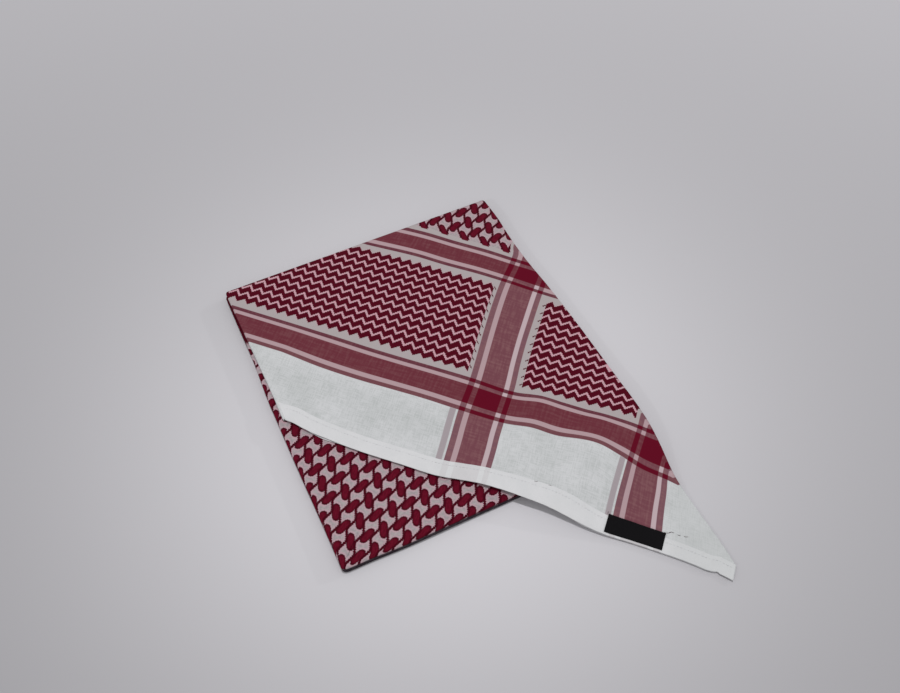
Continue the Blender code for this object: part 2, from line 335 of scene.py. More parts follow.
def threads_at(x, y):
    """The reverse of point_at."""
    across, along = x - TIP_X, y - TIP_Y
    return (along - across) / ROOT_TWO, (along + across) / ROOT_TWO


def flap_left(y):
    """Where the flap's left fold lies."""
    fold = np.interp(y, (LEFT_BEND_AT, HALF_LENGTH), (FLAP_LEFT_HEM, FLAP_LEFT_BACK))
    return fold + FLAP_LEFT_TURN * ramp(y, *LEFT_TURN_AT)


def lower_height(y):
    """Middle of the solid model's lower sheet."""
    past_front = PACK_FRONT - OVERHANG - y
    return (PACK_TOP + GAP) * ramp(past_front, LOWER_RUN, 0.0) + WALL / 2


def upper_height(x, y):
    """Middle of the solid model's upper sheet."""
    past_front = PACK_FRONT - OVERHANG - y
    bridge = ramp(past_front, 0.0, LOWER_RUN) - ramp(past_front, 0.0, UPPER_RUN)
    height = lower_height(y) + WALL + GAP + (PACK_TOP + GAP) * bridge
    u, v = [along / MM for along in threads_at(x, y)]
    for at_u, at_v, reach_u, reach_v, rise in SWELLINGS:
        off_u, off_v = (u - at_u) / reach_u, (v - at_v) / reach_v
        height = height + rise * MM * np.exp(-off_u ** 2 - off_v ** 2)
    return height


def crease_height(x, y):
    """Rise of the soft creases, each a ridge or trough along a line that fades at its ends."""
    u, v = [along / MM for along in threads_at(x, y)]
    height = 0.0
    for u1, v1, u2, v2, half_width, rise, bow in CREASES:
        length = math.hypot(u2 - u1, v2 - v1)
        share = ((u - u1) * (u2 - u1) + (v - v1) * (v2 - v1)) / length ** 2
        aside = ((u - u1) * (v2 - v1) - (v - v1) * (u2 - u1)) / length
        aside = aside + bow * length * np.sin(3.0 * np.clip(share, 0.0, 1.0)) ** 2
        fade = ramp(share * 3.0) * ramp((1.0 - share) * 3.0)
        height = height + rise * MM * fade * np.exp(-(aside / half_width) ** 2)
    return height


def upper_face(x, y):
    """Top face of the upper sheet, with its creases."""
    return upper_height(x, y) + WALL / 2 + crease_height(x, y)


def lower_face(y):
    """Underside of the lower sheet."""
    return lower_height(y) - WALL / 2


def sheet_right(y):
    """Where the flat of both sheets ends and the bend of the diagonal fold begins."""
    fold_x = curve_through(FOLD_LINE, y)
    return fold_x - (upper_face(fold_x, y) - lower_face(y)) / 2


def drift(rows, lines, down, across, level, line):
    """Smooth drift between the rows and lines of a drift table, from its level at a line."""
    total = level
    for column, end in enumerate(lines, 1):
        following = curve_through(rows, down, column)
        share = np.clip((across / MM - line) / (end - line), 0.0, 1.0)
        total = total + (following - level) * share
        level, line = following, end
    return total


def woven_place(u, v):
    """The place in the pattern that lies at a thread crossing."""
    first = curve_through(DRIFT_U, v)
    along = u - drift(DRIFT_U, DRIFT_U_AT, v, u, first, 0.0)
    inward = v - drift(DRIFT_V, DRIFT_V_AT, u, v, 0.0, HEM_LINE)
    return joined(along, inward)


hem_edge, hem_depth, hem_past = [
    partial(curve_through, HEM, column=column) for column in (1, 2, 3)]


def hem_point(u, inward):
    return point_at(u, hem_edge(u) + inward)


# ---- mesh helpers ----
def joined(*parts):
    """The parts as columns of one array, spread to the same shape."""
    return np.stack(np.broadcast_arrays(*parts), axis=-1)


def unit(vectors):
    return vectors / np.linalg.norm(vectors, axis=-1, keepdims=True)


def put_in_scene(name, data):
    thing = bpy.data.objects.new(name, data)
    bpy.context.scene.collection.objects.link(thing)
    return thing


def add_piece(name, points, faces, threads, finish, nodes=()):
    """A mesh object with its thread coordinates, riding on the part's one body."""
    mesh = bpy.data.meshes.new(name)
    mesh.from_pydata(points.reshape(-1, 3).tolist(), [], faces)
    mesh.update()
    layer = mesh.uv_layers.new(name=THREADS)
    corners = np.zeros(len(mesh.loops), dtype=np.int32)
    mesh.loops.foreach_get("vertex_index", corners)
    threads = threads.reshape(-1, 2)[corners].astype(np.float32)
    layer.data.foreach_set("uv", threads.ravel())
    mesh.shade_smooth()
    mesh.materials.append(finish)
    piece = put_in_scene(name, mesh)
    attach(piece, "root")
    if nodes:
        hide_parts(*nodes)
    return piece


def grid_faces(rows, columns, start=0, round_columns=False):
    """Quads of a grid of points, counted row by row; each row may close on itself."""
    row = np.arange(rows - 1)[:, None] * columns + start
    column = np.arange(columns if round_columns else columns - 1)[None, :]
    after = (column + 1) % columns
    corners = [row + column, row + after, row + columns + after, row + columns + column]
    return np.stack(corners, axis=-1).reshape(-1, 4).tolist()


def tube_faces(rows, columns, start=0):
    """Faces of a closed skin: rings of points joined one to the next, both ends filled."""
    last = start + (rows - 1) * columns
    ends = [list(range(start, start + columns))[::-1], list(range(last, last + columns))]
    return grid_faces(rows, columns, start, True) + ends


def ring_normals(middle):
    """Unit normals of a grid of points whose rows close on themselves."""
    wide = np.concatenate([middle[:, -1:], middle, middle[:, :1]], axis=1)
    return unit(np.cross(np.gradient(wide, axis=1)[:, 1:-1], np.gradient(middle, axis=0)))


def shell_between(name, outer, inner, threads, finish, nodes, round_columns=False):
    """A closed wall between two grids of points, with its rim joined."""
    rows, columns = outer.shape[:2]
    back = rows * columns
    faces = grid_faces(rows, columns, 0, round_columns)
    edges = [(face[side - 1], face[side]) for face in faces for side in range(4)]
    inside = set(edges)
    rim = [edge for edge in edges if edge[::-1] not in inside]
    faces += [[corner + back for corner in face[::-1]] for face in faces]
    faces += [[there, here, here + back, there + back] for here, there in rim]
    return add_piece(name, np.stack([outer, inner]), faces, np.stack([threads, threads]),
                     finish, nodes)


# ---- node helpers ----
def set_inputs(node, values):
    """Sets a node's inputs, by name or place, or ties them to the wires that feed them."""
    for key, value in values.items():
        value = getattr(value, "socket", value)
        if isinstance(value, bpy.types.NodeSocket):
            node.id_data.links.new(value, node.inputs[key])
        else:
            node.inputs[key].default_value = value


def new_node(tree, kind, inputs, **settings):
    node = tree.nodes.new("ShaderNode" + kind)
    for name, value in settings.items():
        setattr(node, name, value)
    set_inputs(node, inputs)
    return node


class Wire:
    """A number that runs through the shader nodes, so that a pattern reads as arithmetic."""

    def __init__(self, socket):
        self.socket = socket
        self.tree = socket.id_data

    def apply(self, operation, *others):
        inputs = dict(enumerate((self, *others)))
        return Wire(new_node(self.tree, "Math", inputs, operation=operation).outputs[0])

    __add__ = __radd__ = partialmethod(apply, "ADD")
    __sub__ = partialmethod(apply, "SUBTRACT")
    __mul__ = partialmethod(apply, "MULTIPLY")
    __truediv__ = partialmethod(apply, "DIVIDE")
    size = partialmethod(apply, "ABSOLUTE")
    sine = partialmethod(apply, "SINE")
    power = partialmethod(apply, "POWER")
    floor = partialmethod(apply, "FLOOR")
    part = partialmethod(apply, "FRACT")        # what is left above the whole number
    least = partialmethod(apply, "MINIMUM")
    most = partialmethod(apply, "MAXIMUM")

    def below(self, other):
        """other minus this."""
        return self * -1.0 + other

    def rise(self, start, end):
        """0 before start, 1 past end and a smooth step between."""
        inputs = {"Value": self, "From Min": start, "From Max": end}
        node = new_node(self.tree, "MapRange", inputs, interpolation_type="SMOOTHSTEP")
        return Wire(node.outputs["Result"])

    def between(self, start, end, soft):
        """1 from start to end, with soft edges."""
        half = soft / 2
        return self.rise(start - half, start + half) - self.rise(end - half, end + half)


def noise(vector, scale, detail=2.0):
    inputs = {"Vector": vector, "Scale": scale, "Detail": detail}
    return Wire(new_node(vector.id_data, "TexNoise", inputs).outputs["Fac"])


def streaks(u, v, per_u, per_v, detail=2.0):
    """Noise with this much grain to the millimetre along each axis."""
    join = new_node(u.tree, "CombineXYZ", {0: u * per_u, 1: v * per_v})
    return noise(join.outputs[0], 1.0, detail)


def attribute(tree, name):
    """A value stored on the mesh; 0 where a mesh has none."""
    return Wire(new_node(tree, "Attribute", {}, attribute_name=name).outputs["Fac"])


def layered(colour, layers):
    """A colour with others laid over it in turn, each by its share."""
    for share, over in layers:
        inputs = {0: share, 6: colour, 7: over}
        colour = new_node(share.tree, "Mix", inputs, data_type="RGBA").outputs[2]
    return colour


def srgb(red, green, blue):
    """Linear colour of a surface that shows these 0 to 255 values in full light."""
    shown = np.array([red, green, blue]) / 255.0
    linear = np.where(shown <= 0.04045, shown / 12.92, ((shown + 0.055) / 1.055) ** 2.4)
    return (*linear.tolist(), 1.0)


# ---- colours ----
WHITE = srgb(207, 208, 210)
# greyer threads of the margin, and the painted shade toward the tip
MARGIN_MOTTLE_AND_TIP_SHADE = srgb(183, 186, 186)
HEM_WHITE = srgb(215, 215, 217)
FIELD_BLUSH = srgb(203, 152, 165)
STAR_GROUND = srgb(157, 144, 149)
STAR_BLUSH = srgb(186, 154, 163)
STRIP = srgb(172, 163, 164)
WIDE_ACROSS = srgb(107, 50, 60)
THIN_ACROSS = srgb(100, 53, 64)
WIDE_ALONG = srgb(116, 70, 79)
THIN_ALONG = srgb(121, 84, 93)
BAND_GAP = srgb(177, 151, 156)
BAND_PALE = srgb(138, 98, 100)
PALE_GAP = srgb(190, 170, 175)
CROSSING = srgb(97, 14, 34)
YARN = srgb(103, 18, 38)
YARN_EDGE = srgb(62, 5, 19)
YARN_PALE = srgb(112, 98, 102)
# painted shade for the wall under the pack's front roll
GAP_PAINTED_SHADE = srgb(58, 54, 60)
GHOST = srgb(160, 148, 153)
BLACK = srgb(15, 14, 16)
# painted sheen: a lighter black for the tops of the label's ribs
BLACK_RIB_SHEEN = (*(1.9 * value for value in BLACK[:3]), 1.0)
SHADOW = (0.0, 0.0, 0.0, 1.0)

# ---- sizes of the woven pattern, in millimetres ----
BAND_SOFT = 0.7              # width of the soft edge of every stripe
ZIG_PERIOD = 11.85           # along U
ZIG_PEAK = 303.2
ZIG_ROW = 10.21              # along V
ZIG_TOP = 237.8              # valleys of the last row's upper edge
ZIG_ROWS = 11
ZIG_RISE = 0.39              # share of the period over which the edge rises
ZIG_SWING = 6.2
ZIG_LAG = 0.05               # the lower edge peaks this share of a period earlier
ZIG_DEPTH = 7.5              # thickness of a dark row along V
ZIG_PAST_A = 4.6             # how far past a band the zig-zag starts
ZIG_PAST_C = 4.0
ZIG_PAST_D = 4.2
ZIG_BEFORE_B = 5.0           # and how far before the next band it stops
ZIG_BEFORE_D = 8.0
STROKES = [                  # short strokes close the rows on both sides of band D
    # start, end, slope
    (D_START - 7.6, D_START - 4.4, -0.8),
    (D_END + 1.6, D_END + 4.6, 1.2),
]
STROKE_DROP = 3.4            # how far the strokes lie below the rows' valleys
STAR_U = 24.4
STAR_V = 22.2
STAR_AT_U = 315.2
STAR_AT_V = 305.5
STARS_START = B_END + 6.0    # no blob whose middle lies before this is woven
STARS_PAST_D = 3.0
BLOBS_START = B_END + 4.3    # the blobs reach nearer to the band than the lines
BLOB_LEAN = 2.3              # how far a blob leans along U over half its length
BLOB_HALF_LENGTH = 8.5
BLOB_HALF_WIDTH = 4.1
BLOB_ROUNDNESS = 2.7         # 2 is an ellipse; more is squarer
STAR_LINE = 1.75             # half width of the lines at the middle of a bead
BEAD = 2.22                  # the lines are rows of beads this long
BEAD_WAIST = 0.5             # how much narrower the lines are between beads
BEAD_STEP = 0.8              # how far each bead is a step aside, not a slant: 0 to 1
STAR_SWAY = 2.35             # how far those lines swing to each side
STAR_LAG = 0.45              # and how far before or after a blob's middle they turn
TOOTH = 1.85                 # pitch of the small steps along every woven edge
THREAD_PITCH = 0.62
TIP_PAINTED_SHADE = (73.0, 45.0)      # painted shade: the cloth darkens a little from here to there along U, where the tip tilts away from the light
THREAD_GROOVE = (0.55, 0.05)    # height of the weave where its shade begins and is full


# ---- the woven pattern ----
def bands(along, *sets):
    """The wide stripes of some bands, their thin stripes, and their whole width."""
    wide = sum(along.between(*middle, BAND_SOFT) for _, middle, _ in sets)
    thin = sum(along.between(*edge, BAND_SOFT) for stripes in sets for edge in stripes[::2])
    whole = sum(along.between(first[0], last[1], BAND_SOFT) for first, _, last in sets)
    return wide, thin, whole


def triangle_wave(place):
    """0 to 1 and back over each whole number, rising over the first share of it."""
    part = place.part()
    return (part / ZIG_RISE).least(part.below(1.0) / (1.0 - ZIG_RISE))


def stepped(u, v, depth_u, depth_v):
    """Small woven steps: each axis is nudged to and fro along the other."""
    full_turn = 2.0 * math.pi / TOOTH
    by_v, by_u = [((axis * full_turn).sine() * 1.6).most(-1.0).least(1.0) for axis in (v, u)]
    return u + by_v * depth_u, v + by_u * depth_v


def in_rows(row):
    """1 within the rows of zig-zag, which count down from the last one."""
    return row.rise(-0.01, 0.01) * row.rise(ZIG_ROWS + 0.01, ZIG_ROWS - 0.01)


def zigzag(u, v):
    """Rows of zig-zag, thick where they fall and thin where they rise, and the rows' field."""
    along = (u - ZIG_PEAK) / ZIG_PERIOD + ZIG_RISE
    upper = triangle_wave(along) * ZIG_SWING
    lower = triangle_wave(along + ZIG_LAG) * ZIG_SWING
    row = (upper + v.below(ZIG_TOP)) / ZIG_ROW
    past_edge = row.part() * ZIG_ROW
    dark = (past_edge + lower - upper).rise(ZIG_DEPTH + 0.3, ZIG_DEPTH - 0.3)
    field = row.rise(-0.1, 0.02) * row.rise(ZIG_ROWS - 0.2, ZIG_ROWS - 0.3)
    return dark * past_edge.rise(0.0, 0.5) * in_rows(row), field


def row_ends(u, v, start, end, slope):
    """A short slanting stroke at the end of each zig-zag row, between two places along U."""
    lane = (v.below(ZIG_TOP + STROKE_DROP) + (u - start) * slope) / ZIG_ROW
    stroke = ((lane.part() - 0.5).size() * ZIG_ROW).rise(1.1, 0.5)
    return stroke * in_rows(lane) * u.between(start, end, 0.4)


def blob(u, v, lean):
    """One rounded blob in each cell, leaning one way: 0 at its middle, 1 at its edge."""
    cell_u = (u.part() - 0.5) * STAR_U
    cell_v = (v.part() - 0.5) * STAR_V
    aside = (cell_u - cell_v * (lean / BLOB_HALF_LENGTH)).size() / BLOB_HALF_WIDTH
    along = cell_v.size() / BLOB_HALF_LENGTH
    return aside.power(BLOB_ROUNDNESS) + along.power(BLOB_ROUNDNESS)


def stars(u, v):
    """Leaning blobs in a centred lattice, the swaying lines that join them in steps, how far
    a place lies from a blob's middle, and the middles of the light shapes."""
    along_u = (u - STAR_AT_U) / STAR_U
    along_v = (v - STAR_AT_V) / STAR_V
    reaches = []
    for shift, lean in ((0.5, -BLOB_LEAN), (0.0, BLOB_LEAN)):
        cell = along_v + shift
        middle = (cell.floor() + (0.5 - shift)) * STAR_V + STAR_AT_V
        left_out = middle.rise(STARS_START + 0.1, STARS_START - 0.1) * 50.0
        reaches.append(blob(along_u + shift, cell, lean) + left_out)
    reach = reaches[0].least(reaches[1])
    column = along_u * 2.0
    side = (column.floor() * 0.5).part() * 4.0 - 1.0
    along_bead = (v - STAR_AT_V) / BEAD
    tread = along_bead + (along_bead.floor() + 0.5 - along_bead) * BEAD_STEP
    turn = tread * (BEAD / STAR_V) + side * (STAR_LAG / STAR_V)
    sway = (turn.part() - 0.5).size() * 4.0 - 1.0
    aside = ((column.part() - 0.5) * (STAR_U / 2.0) - side * sway * STAR_SWAY).size()
    waist = (along_bead.part() - 0.5).size() * 2.0 * BEAD_WAIST
    line = (aside + waist).rise(STAR_LINE + 0.3, STAR_LINE - 0.3)
    calm = reach.rise(1.15, 2.0) * aside.rise(1.6, 4.0)
    return reach.rise(1.15, 0.85), line, reach, calm


def ribs(along, pitch):
    """Rounded ribs, one to each pitch: 0 between them and 1 on top."""
    return (along * (2.0 * math.pi / pitch)).sine() * 0.5 + 0.5


def weave(u, v):
    """Plain weave: the height of the crossing threads, from 0 to 1."""
    over = (u * (math.pi / THREAD_PITCH)).sine() * (v * (math.pi / THREAD_PITCH)).sine()
    return over * 0.5 + 0.5


# ---- finishes ----
def new_finish(name):
    """A material, U and V in millimetres, and the UV layer's own vector."""
    finish = bpy.data.materials.new(name)
    finish.use_nodes = True
    tree = finish.node_tree
    vector = new_node(tree, "UVMap", {}, uv_map=THREADS).outputs[0]
    parts = new_node(tree, "SeparateXYZ", {0: vector})
    u, v = [Wire(parts.outputs[axis]) * 1000.0 for axis in (0, 1)]
    return finish, u, v, vector


def set_surface(finish, colour, height, depth, bump_strength=0.6, roughness=0.85, specular=0.02,
                sheen=0.012):
    """Ties colour and relief to the surface; the depth is the relief's, from 0 to 1."""
    tree = finish.node_tree
    relief = {"Strength": bump_strength, "Distance": depth, "Height": height}
    set_inputs(tree.nodes["Principled BSDF"], {
        "Base Color": colour,
        "Roughness": roughness,
        "Specular IOR Level": specular,
        "Sheen Weight": sheen,
        "Normal": new_node(tree, "Bump", relief).outputs[0],
    })
    return finish


def dark_yarns(u, v):
    """The zig-zags and stars: where they are, their colour, the ground among the zig-zags,
    the star panel, and the middles of its light shapes."""
    past_d = u.rise(D_END + ZIG_PAST_D, D_END + ZIG_PAST_D + 0.5)
    past_c = u.between(C_END + ZIG_PAST_C, D_START - ZIG_BEFORE_D, 0.5)
    rows = v.between(A_END + ZIG_PAST_A, B_START - ZIG_BEFORE_B, 0.5)
    zig_field = rows * (past_d + past_c)
    panel = u.rise(D_END + STARS_PAST_D, D_END + STARS_PAST_D + 0.5)
    star_field, blob_field = [
        v.rise(start, start + 0.6) * panel for start in (STARS_START, BLOBS_START)]
    step_u, step_v = stepped(u, v, 0.3, 0.15)
    strokes, among = zigzag(step_u, step_v)
    zig = strokes * zig_field
    for start, end, slope in STROKES:
        zig = zig.most(row_ends(step_u, step_v, start, end, slope))
    blobs, lines, reach, calm = stars(*stepped(u, v, 0.2, 0.15))
    yarn = zig.most((blobs * blob_field).most(lines * star_field))
    streak = streaks(u, v, 0.9, 0.25, 1.0).rise(0.3, 0.7)
    rim = (reach.rise(0.15, 0.8) * 0.9).most(lines * 0.8) * star_field
    rim = rim.most(streak * 0.45).most(zig * 0.65)
    colour = layered(YARN, [(rim, YARN_EDGE)])
    return yarn, colour, zig_field * among, star_field, calm


def keffiyeh_finish(name):
    """The patterned cloth: bands, zig-zag field, star panel and plain margin, with painted shade
    on the pack's front edge, toward the tip and between the threads.
    """
    finish, u, v, vector = new_finish(name)
    wide_across, thin_across, whole_across = bands(v, BAND_A, BAND_B)
    wide_along, thin_along, whole_along = bands(u, BAND_C, BAND_D)
    across, along = wide_across + thin_across, wide_along + thin_along
    yarn, yarn_colour, among, star_field, calm = dark_yarns(u, v)

    # grounds, uneven as woven cotton is, and the mottling of the bands along their threads
    patch = noise(vector, 28.0, 4.0).rise(0.35, 0.7)
    fine = noise(vector, 420.0).rise(0.3, 0.7)
    slub = (streaks(u, v, 0.9, 0.09) + streaks(u, v, 0.09, 0.9)).rise(0.85, 1.25)
    mottle = (streaks(u, v, 0.42, 0.05) + streaks(u, v, 0.05, 0.42)).rise(0.85, 1.3)
    blush = layered(FIELD_BLUSH, [(fine * 0.5, STRIP)])
    star_ground = layered(STAR_GROUND, [(fine, STRIP)])
    star_ground = layered(STAR_BLUSH, [(calm, star_ground)])
    ghost = u.between(D_END + 2.3, D_END + 8.2, 0.9) + u.between(C_END + 2.2, C_END + 8.2, 0.9)
    ghost = ghost * v.rise(A_START, A_START - 0.5)
    pale_gap = sum(
        u.between(first[1], wide[0], BAND_SOFT) for first, wide, _ in (BAND_C, BAND_D))
    threads = weave(u, v)

    colour = layered(WHITE, [
        (patch * 0.45 + slub * 0.55, MARGIN_MOTTLE_AND_TIP_SHADE),
        (v.rise(A_END - 0.4, A_END + 0.4), STRIP),
        (among, blush),
        (star_field, star_ground),
        (ghost * 0.9, GHOST),
        # painted shade toward the tip
        (u.rise(*TIP_PAINTED_SHADE) * 0.4, MARGIN_MOTTLE_AND_TIP_SHADE),
        (whole_across.most(whole_along), BAND_GAP),
        (pale_gap, PALE_GAP),
        (wide_along, WIDE_ALONG),
        (thin_along, THIN_ALONG),
        (along * mottle * 0.55, BAND_PALE),
        (wide_across, WIDE_ACROSS),
        (thin_across, THIN_ACROSS),
        (v.between(*BAND_A[0], BAND_SOFT) * 0.3, BAND_PALE),
        (across * mottle * 0.25, BAND_PALE),
        (across * along, CROSSING),
        (yarn, yarn_colour),
        (attribute(u.tree, "crossing"), yarn_colour),
        # painted shade on the pack's front wall under the roll
        (attribute(u.tree, "painted_gap_shade") * 0.93, GAP_PAINTED_SHADE),
        (threads.rise(*THREAD_GROOVE) * 0.16, SHADOW),
    ])
    return set_surface(finish, colour, threads * 0.45 + yarn * 0.8, 0.25 * MM)


def hem_finish(name):
    """White cotton; bands C and D show through the turned hem only faintly."""
    finish, u, v, vector = new_finish(name)
    wide_c, thin_c, _ = bands(u, BAND_C)
    wide_d, thin_d, _ = bands(u, BAND_D)
    threads = weave(u, v)
    colour = layered(HEM_WHITE, [
        (noise(vector, 60.0, 3.0).rise(0.35, 0.7) * 0.5, WHITE),
        ((wide_d + thin_d) * 0.10, WIDE_ALONG),
        ((wide_c + thin_c) * 0.16, WIDE_ALONG),
        # painted shade toward the tip
        (u.rise(*TIP_PAINTED_SHADE) * 0.35, MARGIN_MOTTLE_AND_TIP_SHADE),
        (threads.rise(*THREAD_GROOVE) * 0.14, SHADOW),
    ])
    return set_surface(finish, colour, threads, 0.2 * MM)


def yarn_finish(name):
    """Bare dark yarn with a twist."""
    finish, u, v, vector = new_finish(name)
    twist = ribs(u + v, 0.5)
    # lighter along the twist ridges and in random patches
    pale_share = twist * 0.4 + noise(vector, 300.0) * 0.4
    colour = layered(YARN_EDGE, [(pale_share, YARN_PALE)])
    return set_surface(finish, colour, twist, 0.1 * MM, 0.5, roughness=0.8, specular=0.15)


def label_finish(name):
    """Black satin tape with fine ribs, their tops lighter with a painted sheen."""
    finish, u, v, vector = new_finish(name)
    rib, row = ribs(u, 0.55), ribs(v, 0.4)
    # painted sheen on the rib tops, with random mottling
    rib_sheen_and_mottle = rib * row * 0.5 + noise(vector, 240.0) * 0.3
    colour = layered(BLACK, [(rib_sheen_and_mottle, BLACK_RIB_SHEEN)])
    return set_surface(finish, colour, rib + row, 0.15 * MM, 0.5, roughness=0.6, specular=0.04,
                       sheen=0.005)


# ---- the pieces ----
def flap_columns(count, rows, tucked=0.0):
    """Places down each column of a sheet, from under its hem to the start of the back roll."""
    share = np.linspace(0.0, 1.0, count)
    y = np.zeros(count)
    for _ in range(80):
        x = flap_left(y) + (sheet_right(y) - flap_left(y)) * share
        u = threads_at(x, y)[0]
        inward = hem_edge(u) + HEM_CLOTH + tucked * np.maximum(-hem_past(u), 0.0)
        hem_y = TIP_Y + (TIP_X - x) + ROOT_TWO * inward
        end_y = TIP_Y + (x - TIP_X) + ROOT_TWO * HEM_CLOTH
        y = y + 0.5 * (np.maximum(hem_y, end_y) - y)
    y = y + (ROLL_AXIS_Y - y) * np.linspace(0.0, 1.0, rows)[:, None]
    x = flap_left(y) + (sheet_right(y) - flap_left(y)) * share
    return x, y


def make_flap(finish):
    """The top length of the strip, a flat tube: two sheets joined by a fold on each side."""
    count, rows = round(2 * HALF_WIDTH / GRID), round(FLAP_LONGEST / GRID)
    half = CLOTH / 2
    x, y = flap_columns(count, rows)
    upper = joined(x, y, upper_face(x, y) - half)
    over = woven_place(*threads_at(x, y))
    x, y = flap_columns(count, rows, tucked=1.0)
    lower = joined(x, y, lower_face(y) + half)
    under = woven_place(*threads_at(x, y)[::-1])

    def bend(column, side):
        """Half circle from the lower sheet up to the upper one, or back, along one side."""
        edge, low = upper[:, [column]], lower[:, [column], 2]
        turns = (np.pi * np.arange(1, FOLD_STEPS) / FOLD_STEPS)[::side]
        radius = (edge[:, :, 2] - low) / 2
        across = edge[:, :, 0] + side * radius * np.sin(turns)
        return joined(across, edge[:, :, 1], low + radius - radius * np.cos(turns))

    middle = np.concatenate([lower, bend(-1, 1), upper[:, ::-1], bend(0, -1)], axis=1)
    right, left = [np.repeat(over[:, [side]], FOLD_STEPS - 1, axis=1) for side in (-1, 0)]
    threads = np.concatenate([under, right, over[:, ::-1], left], axis=1)

    # the back roll, with its corners rounded off, and the short drop under it
    across = middle[-1, :, 0]
    near_left = np.clip(1.0 - (across - across.min()) / CORNER_REACH, 0.0, 1.0)
    near_right = np.clip(1.0 - (across.max() - across) / CORNER_REACH, 0.0, 1.0)
    arm = middle[-1, :, 2] - ROLL_AXIS_Z
    rings, places = [middle], [threads]
    for step in range(1, ROLL_STEPS + 1):
        turn = math.pi / 2 * step / ROLL_STEPS
        ring_x = across + CORNER_ROUND * (1.0 - math.cos(turn)) * (near_left - near_right)
        ring_y = ROLL_AXIS_Y + arm * ROLL_BULGE * math.sin(turn)
        rings.append(joined(ring_x, ring_y, ROLL_AXIS_Z + arm * math.cos(turn))[None])
        places.append((threads[-1] + arm[:, None] * turn / ROOT_TWO)[None])
    rings.append(rings[-1] - (0.0, 0.0, ROLL_DROP))
    places.append(places[-1] + ROLL_DROP / ROOT_TWO)
    middle = np.concatenate(rings)
    out = half * ring_normals(middle)
    return shell_between("flap_cloth", middle + out, middle - out, np.concatenate(places),
                         finish, ["flap"], round_columns=True)


def hem_ripple(u):
    """Slight puckers of the sewn hem along its length."""
    return PUCKER * np.sin(u / PUCKER_RUN + 2.0 * np.sin(u / PUCKER_DRIFT))


def hem_strip(name, start, end, past, face, thickness, finish, node):
    """A turned hem: a flat closed strip with round edges, lying along the sheet's edge."""
    along = np.linspace(0.0, 1.0, round((end - start) / HEM_GRID))
    radius = thickness / 2
    turns = np.pi * (np.arange(HEM_TURNS + 1) / HEM_TURNS + 0.5)
    # across the strip: share of the depth, plus radii inward, and height in radii
    profile = [(0.0, 1.0 + math.cos(turn), math.sin(turn)) for turn in turns]
    profile += [(share, 0.0, -1.0) for share in (0.25, 0.5, 0.75)]
    profile += [(1.0, -math.cos(turn) - 1.0, -math.sin(turn)) for turn in turns]
    profile += [(share, 0.0, 1.0) for share in (0.9, 0.8, 0.7, 0.5, 0.3, 0.15)]
    rings, threads = [], []
    for share, radii, lift in profile:
        u = start + (end - start) * along
        inward = share * hem_depth(u) + radii * radius
        u = u + inward * ramp(along, HEM_TURNS_IN, 1.0)
        x, y = hem_point(u, inward - past(u))
        rings.append(joined(x, y, face(x, y) + (lift - 1.0) * radius + hem_ripple(u)))
        threads.append(woven_place(*threads_at(x, y)))
    middle = np.stack(rings, axis=1)
    faces = [face[::-1] for face in tube_faces(*middle.shape[:2])]
    return add_piece(name, middle, faces, np.stack(threads, axis=1), finish,
                     [node])


def hem_left_end():
    """Distance along the hem from the tip to the flap's left fold."""
    u = 0.45
    for _ in range(60):
        x, y = hem_point(u, 0.0)
        u += 0.7 * (x - flap_left(y))
    return float(u)


def hem_face(x, y):
    """Top face of the upper hem, which lies on the upper sheet."""
    return upper_face(x, y) + HEM_LIFT


def lower_hem_face(x, y):
    return lower_face(y) + LOWER_HEM_LIFT


def label_face(x, y):
    return hem_face(x, y) + LABEL_CLOTH


def make_hems(finish):
    end = hem_left_end()
    high = hem_strip("hem_upper_cloth", 0.0, end, np.zeros_like, hem_face, HEM_CLOTH, finish,
                     "hem_upper")
    low = hem_strip("hem_lower_cloth", LOWER_HEM_START, end - LOWER_HEM_SHORT, hem_past,
                    lower_hem_face, LOWER_HEM_CLOTH, finish, "hem_lower")
    return high, low


def make_label(finish):
    u = np.linspace(LABEL_START, LABEL_START + LABEL_LENGTH, LABEL_COLUMNS)
    inward = np.linspace(LABEL_INSET, LABEL_INSET + LABEL_DEPTH, LABEL_ROWS)[:, None]
    x, y = hem_point(u, inward)
    outer = joined(x, y, label_face(x, y))
    inner = joined(x, y, hem_face(x, y) + LABEL_LIFT)
    return shell_between("label_cloth", outer, inner, joined(u, inward), finish,
                         ["label"])


def add_threads(name, runs, radius, finish):
    """One piece of many short round threads, thinner at both ends; a run is a row of points."""
    points, faces = [], []
    turns = (2.0 * np.pi * np.arange(THREAD_SIDES) / THREAD_SIDES)[:, None]
    for run in runs:
        ahead = unit(np.gradient(run, axis=0))
        aside = unit(np.cross(ahead, (0.0, 0.0, 1.0)))
        up = np.cross(aside, ahead)
        size = np.full((len(run), 1, 1), radius)
        size[[0, -1]] *= THREAD_TAPER
        faces += tube_faces(len(run), THREAD_SIDES, THREAD_SIDES * sum(map(len, points)))
        points.append(run[:, None] + size * (np.cos(turns) * aside[:, None]
                                             + np.sin(turns) * up[:, None]))
    points = np.concatenate(points)
    flat = joined(*threads_at(points[..., 0], points[..., 1]))
    return add_piece(name, points, faces, flat, finish)


def stitch(face, u, to_u, inward, to_inward):
    """Three points of one stitch between two places on the hem, sunk at both ends."""
    v, to_v = hem_edge(u) + inward, hem_edge(to_u) + to_inward
    x, y = point_at(np.linspace(u, to_u, 3), np.linspace(v, to_v, 3))
    return joined(x, y, face(x, y) + STITCH_LIFTS)


